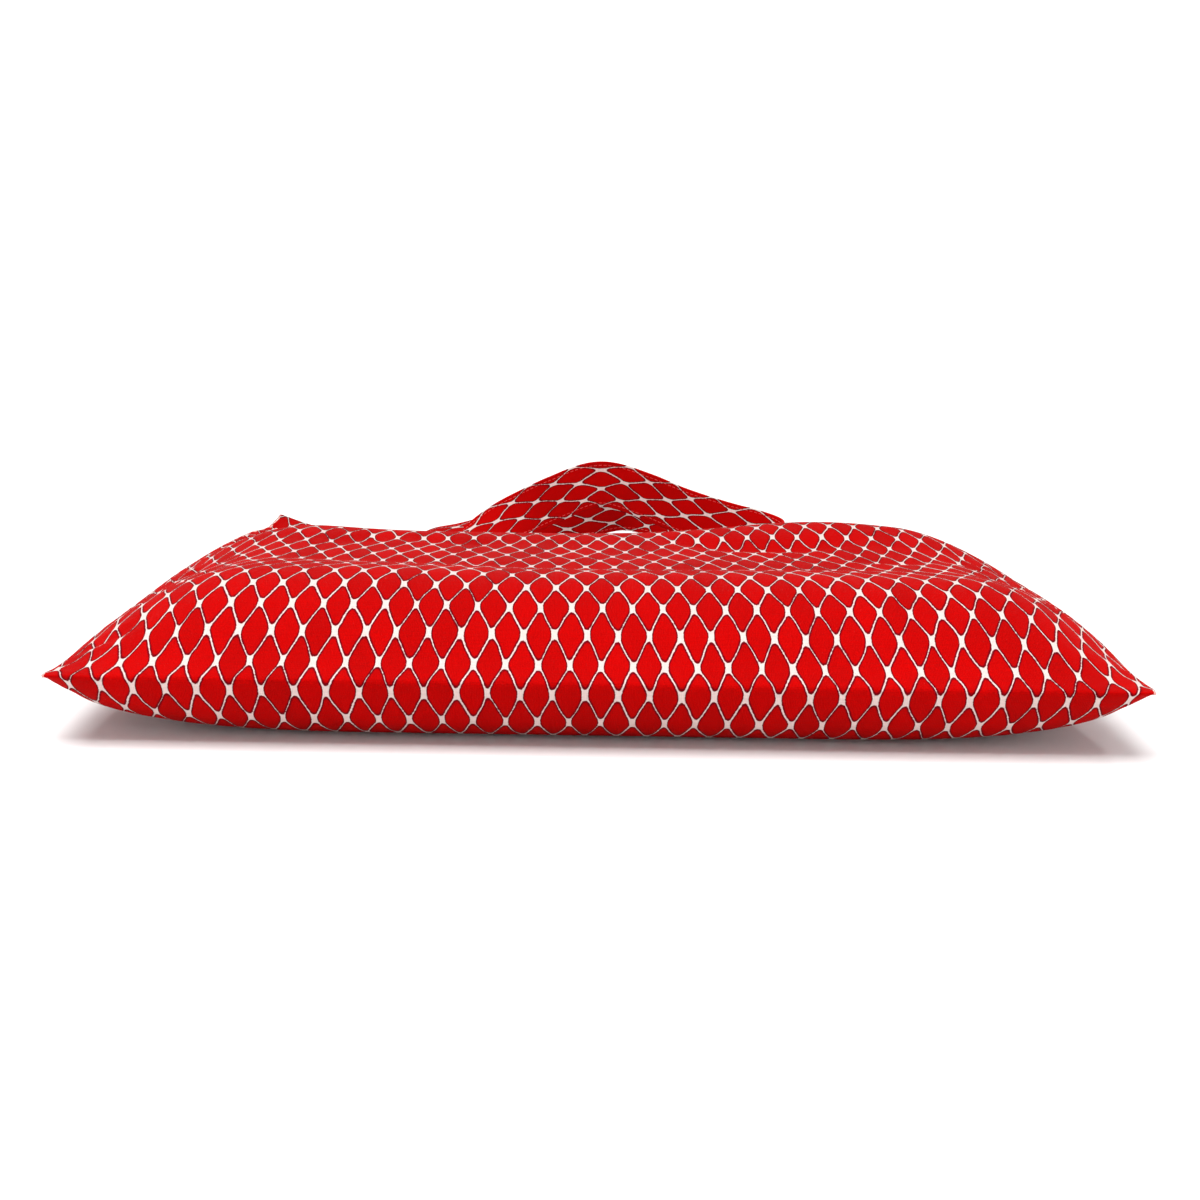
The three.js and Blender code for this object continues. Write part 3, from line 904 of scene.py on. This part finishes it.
# The loops: x in halves of the spacing, distance from the mouth in shares of the reach, height
# in shares of the rise, and how far the strap has turned from flat to on edge
upper_loop_shares = np.array([
    [-1, 0, 0, 0], [-0.995, 0.119, 0, 0], [-0.975, 0.262, 0.016, 0.02], [-0.92, 0.44, 0.04, 0.12],
    [-0.83, 0.619, 0.06, 0.34], [-0.7, 0.786, 0.17, 0.57], [-0.54, 0.917, 0.35, 0.75],
    [-0.321, 0.988, 0.65, 0.9], [0.037, 1, 1.03, 0.98], [0.39, 1, 0.76, 0.98],
    [0.646, 1, 0.44, 0.94], [0.878, 1, 0.21, 0.88], [1.1, 1, 0.03, 0.82],
    [1.28, 0.986, -0.09, 0.77], [1.38, 0.924, -0.18, 0.73], [1.42, 0.81, -0.23, 0.69],
    [1.4, 0.686, -0.23, 0.63], [1.29, 0.593, -0.17, 0.51], [1.165, 0.49, -0.074, 0.4],
    [1.09, 0.379, -0.037, 0.17], [1.049, 0.286, -0.025, 0.05], [1.022, 0.198, 0, 0],
    [1.005, 0.102, 0, 0], [1, 0, 0, 0]])
lower_loop_shares = np.array([
    [-1, 0, 0, 0], [-1, 0.062, 0, 0], [-1.024, 0.175, 0, 0], [-1.085, 0.325, -0.016, 0.01],
    [-1.183, 0.5, 0, 0.04], [-1.244, 0.675, 0.04, 0.1], [-1.207, 0.838, 0.04, 0.15],
    [-1.049, 0.956, 0.05, 0.21], [-0.805, 1, 0.16, 0.42], [-0.463, 1, 0.42, 0.9],
    [-0.061, 1, 0.68, 1.1], [0.268, 1, 1.13, 1.08], [0.524, 0.969, 0.85, 0.76],
    [0.683, 0.863, 0.27, 0.4], [0.774, 0.7, -0.021, 0.14], [0.817, 0.525, 0, 0],
    [0.86, 0.35, 0, 0], [0.921, 0.225, 0, 0], [0.974, 0.125, 0, 0], [0.995, 0.062, 0, 0],
    [1, 0, 0, 0]])


def strap_path(shares, reach, rise, flat_height, edge_height, sewn_height):
    """Rows along a strap: its middle, the direction across it and the direction of its face.
    The line goes through the loop's points and is walked in even steps; at each of them the
    strap is turned about the line by its share of a quarter turn, away from lying flat."""
    quarter = shares[:, 3] * np.pi / 2
    loop_x, loop_y = shares[:, 0] * half_spacing, hinge_y + shares[:, 1] * reach
    loop_z = flat_height + (edge_height - flat_height) * np.sin(quarter) + shares[:, 2] * rise
    loop = np.stack([loop_x, loop_y, loop_z, quarter], -1)
    tail = np.linspace(bag_length - strap_sewn_depth, hinge_y - tail_gap, tail_points)
    tails = [np.stack([side * half_spacing + 0 * tail, tail, flat_height + 0 * tail, 0 * tail], -1)
             for side in (-1, 1)]
    points = np.concatenate([tails[0], loop, tails[1][::-1]])
    chord = way_along(points[:, :3])
    fine = smooth_line(np.column_stack([chord, points]), np.linspace(0, chord[-1], fine_steps))
    walk = way_along(fine[:, :3])
    even = np.linspace(0, walk[-1], strap_rows)
    rows = np.stack([np.interp(even, walk, column) for column in fine.T], -1)
    sewn = 1 - smooth_step((rows[:, 1] - bag_length - bend_start) / unsewn_by)
    rows[:, 2] += (sewn_height - flat_height) * sewn
    centre = rows[:, :3].copy()
    centre[:, 1] += fold_y
    ahead = unit(np.gradient(centre, axis=0))
    flat = unit(np.cross(np.array([0, 0, 1]), ahead))
    lifted = np.cross(ahead, flat)
    cos, sin = np.cos(rows[:, 3:]), np.sin(rows[:, 3:])
    across = flat * cos + lifted * sin
    return centre, across, np.cross(ahead, across)


def strap_outline():
    """The strap's section: two flat faces with half-round edges, each face a little fuller
    between its lines of stitches, and pulled in along them."""
    outline = flat_outline(strap_width / 2, strap_thickness / 2, strap_face_points)
    x, face = outline.T
    off_line = np.abs(x) - (strap_width / 2 - edge_stitch_inset)
    dimple = edge_dimple * np.exp(-(off_line / edge_dimple_half_width) ** 2)
    outline[:, 1] = face - np.sign(face) * np.minimum(dimple, np.abs(face))
    return outline


def across_hinge(piece):
    """Moves the piece's placement into its mesh, so that it stands at the origin."""
    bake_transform(piece)


# Each handle: its loop, reach and rise, and the height of its middle lying flat, on edge and
# in the hem
handles = (
    ("upper", upper_loop_shares, 42 * mm, 26 * mm, 13.15 * mm, 21.35 * mm, 14.3 * mm),
    ("lower", lower_loop_shares, 80 * mm, 10 * mm, 4.85 * mm, 15 * mm, 4.2 * mm))
for level_name, shares, reach, rise, flat_height, edge_height, sewn_height in handles:
    centre, across, face = strap_path(shares, reach, rise, flat_height, edge_height, sewn_height)
    outline = strap_outline()
    tube = profile_tube(centre, across, face, outline)
    faces = capped(*tube.shape[:2])
    strap = new_piece(f"{level_name}_strap", tube, faces, tube_uv(centre, outline))
    strap.data.materials.append(printed)
    across_hinge(strap)
    sewn_ends = [f"{level_name}_strap_{side}_end" for side in ("left", "right")]
    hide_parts(f"{level_name}_handle", *sewn_ends)
    lines = []
    for edge in (-1, 1):
        for side in (-1, 1):
            shift = edge * (strap_width / 2 - edge_stitch_inset)
            path = centre + shift * across + side * (strap_thickness / 2 - edge_dimple) * face
            starts, ends = stitch_line(path, edge_stitch_pitch)
            nearest = np.linalg.norm(starts[:, None] - path[None], axis=-1).argmin(1)
            lines.append((starts, ends, side * face[nearest]))
    starts, ends, out = (np.concatenate(part) for part in zip(*lines))
    edges = stitches(f"{level_name}_strap_stitching", starts, ends, out)
    edges.data.materials.append(red_thread)
    across_hinge(edges)


# Box stitches: each strap end is held to its hem and panel by a sewn rectangle with a cross.
box_stitch_half_width = 11.5 * mm
box_stitch_back = 18 * mm
box_stitch_front = 3 * mm


def box_lines(middle):
    """The sides and the two diagonals of a box stitch round this x."""
    left, right = middle - box_stitch_half_width, middle + box_stitch_half_width
    near, far = bag_length - box_stitch_back, bag_length - box_stitch_front
    corners = [[left, near], [right, near], [right, far], [left, far]]
    sides = [[corners[k], corners[(k + 1) % 4]] for k in range(4)]
    return sides + [[corners[0], corners[2]], [corners[1], corners[3]]]


for level_name, front in (("upper", True), ("lower", False)):
    for side_name, side in (("left", -1), ("right", 1)):
        lines = box_lines(side * half_spacing)
        piece = sewn_to_panel(f"{level_name}_{side_name}_box", lines, front)
        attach(piece, "bag")
        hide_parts(f"{level_name}_{side_name}_box_stitch")


# Floor and light: a pale round floor that curves up far from the bag, a wide soft lamp above,
# a smaller one in front, four that wash the floor's rim, and even light from all round.
floor_radius = 3.4
floor_flat = 1.9
floor_rise = 1.5
floor_middle = 0.01
floor_rings = 60
floor_spokes = 96
floor_grey = 0.74
daylight = 0.43
wash_distance = 1.2
wash_height = 1.9
wash_size = 2.0
wash_power = 66
wash_aim_height = 0.5
turn = np.linspace(0, 2 * np.pi, floor_spokes, endpoint=False)
reach = np.linspace(floor_middle, floor_radius, floor_rings)
rise = floor_rise * np.clip((reach - floor_flat) / (floor_radius - floor_flat), 0, 1) ** 2
disc = np.stack([reach[:, None] * np.cos(turn), reach[:, None] * np.sin(turn),
                 rise[:, None] + 0 * turn], -1)
ring_faces = grid_faces(floor_rings, floor_spokes, closed=True)[:, ::-1].tolist()
disc_faces = ring_faces + [list(range(floor_spokes))]
floor = new_piece("floor", disc, disc_faces)
floor_paint = bpy.data.materials.new("floor")
floor_paint.use_nodes = True
floor_shader = floor_paint.node_tree.nodes["Principled BSDF"]
floor_shader.inputs["Base Color"].default_value = (floor_grey, floor_grey, floor_grey, 1)
floor_shader.inputs["Roughness"].default_value = 0.95
floor.data.materials.append(floor_paint)

world = bpy.data.worlds.new("studio")
world.use_nodes = True
world.node_tree.nodes["Background"].inputs["Color"].default_value = (1, 1, 1, 1)
world.node_tree.nodes["Background"].inputs["Strength"].default_value = daylight
bpy.context.scene.world = world


def soft_lamp(name, location, size, power, target=(0, 0, 0)):
    """A round area lamp at a place, that shines at its target."""
    lamp = bpy.data.lights.new(name, "AREA")
    lamp.shape = "DISK"
    lamp.size = size
    lamp.energy = power
    holder = bpy.data.objects.new(name, lamp)
    bpy.context.scene.collection.objects.link(holder)
    aim = Vector(target) - Vector(location)
    holder.rotation_euler = aim.to_track_quat("-Z", "Y").to_euler()
    holder.location = location


soft_lamp("overhead", (-0.2, -0.45, 1.5), 1.3, 32.5)
soft_lamp("front_fill", (0.4, -1.5, 0.8), 0.9, 2)
for name, x, y in (("far", 0, 1), ("near", 0, -1), ("left", -1, 0), ("right", 1, 0)):
    lamp_place = (wash_distance * x, wash_distance * y, wash_height)
    aim_place = (floor_radius * x, floor_radius * y, wash_aim_height)
    soft_lamp(f"{name}_wash", lamp_place, wash_size, wash_power, aim_place)
bpy.context.scene.view_settings.view_transform = "Standard"
